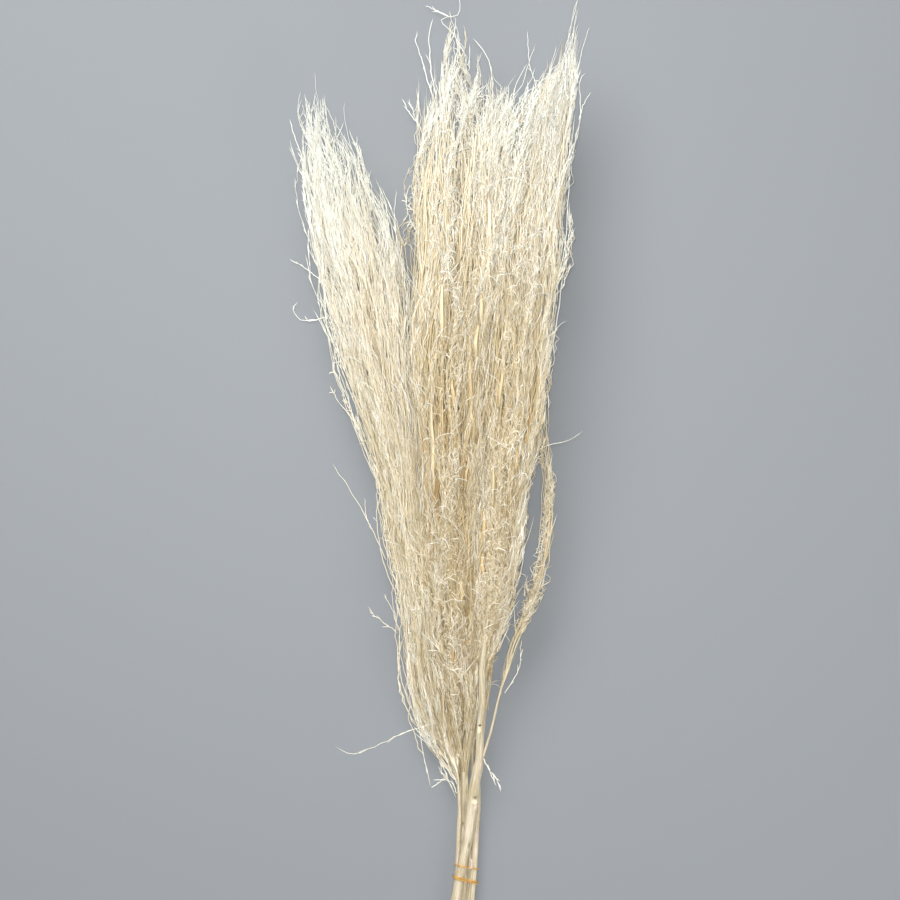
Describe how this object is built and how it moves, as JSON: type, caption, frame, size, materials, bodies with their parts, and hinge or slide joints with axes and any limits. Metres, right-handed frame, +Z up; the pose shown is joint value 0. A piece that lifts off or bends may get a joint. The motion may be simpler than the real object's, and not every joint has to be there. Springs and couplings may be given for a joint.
{
  "type": "bundle of dried kochia",
  "caption": "Bundle of bleached dried kochia stems with fine upright twigs, lying down, held by rubber bands near the cut ends.",
  "frame": {"origin": "bottom centre of the whole bundle's box, on the surface it lies on", "axes": "+Y along the bundle from the cut ends to the twig tips, +Z up, +X to the right when seen from above with the tips away"},
  "size_m": [0.2454, 0.85, 0.1225],
  "materials": {
    "stem": "matte dried plant stem, cream to tan",
    "pale_stem": "matte bleached plant stem, near white",
    "band": "satin ochre rubber"
  },
  "bodies": {
    "root": {"stem_left": "pale_stem", "stem_centre": "stem", "stem_front": "stem", "stem_right": "stem", "stem_back_left": "stem", "stem_back_middle": "stem", "band_upper": "band", "band_lower": "band"}
  },
  "joints": []
}
